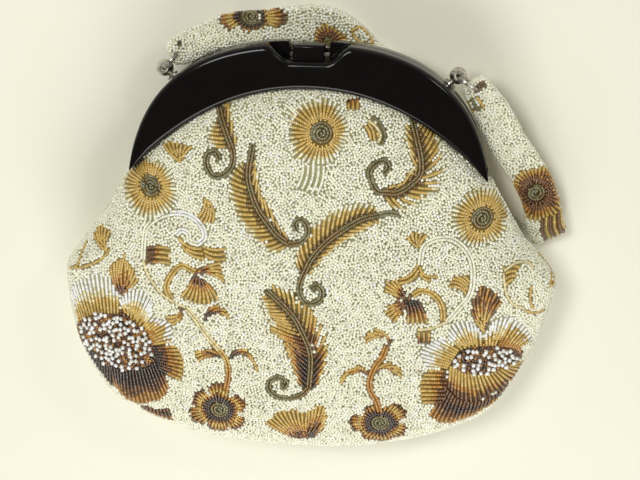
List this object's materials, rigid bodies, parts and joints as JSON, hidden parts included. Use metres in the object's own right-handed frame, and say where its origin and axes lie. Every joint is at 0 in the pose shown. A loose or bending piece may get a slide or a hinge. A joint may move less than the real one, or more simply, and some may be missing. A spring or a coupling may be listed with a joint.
{
  "type": "beaded handbag",
  "caption": "Soft rounded pouch on a hinged arched frame with a lift clasp and a padded strap held by two small rings.",
  "frame": {"origin": "middle of the flat patch on the back of the pouch, which the lying bag rests on", "axes": "+X across the bag, +Y from the bottom towards the clasp, +Z out of the front"},
  "size_m": [0.2542, 0.228, 0.05],
  "materials": {
    "beadwork": "small glossy seed beads, ivory with gold, olive and brown flowers",
    "frame_plastic": "polished black",
    "fittings": "worn bright metal"
  },
  "bodies": {
    "bag": {"pouch": "beadwork", "frame_front": "frame_plastic", "frame_back": "frame_plastic", "clasp_pin": "fittings", "hinge_pin_left": "fittings", "hinge_pin_right": "fittings", "stud_left": "fittings", "stud_right": "fittings", "ring_left": "fittings", "ring_right": "fittings", "strap": "beadwork"},
    "clasp": {"clasp_lever": "frame_plastic"}
  },
  "joints": [
    {"name": "clasp_lift", "type": "hinge", "parent": "bag", "child": "clasp", "pos_m": [0, 0.117, 0.02293], "axis": [-1, 0, 0], "range_deg": [0, 50]}
  ]
}
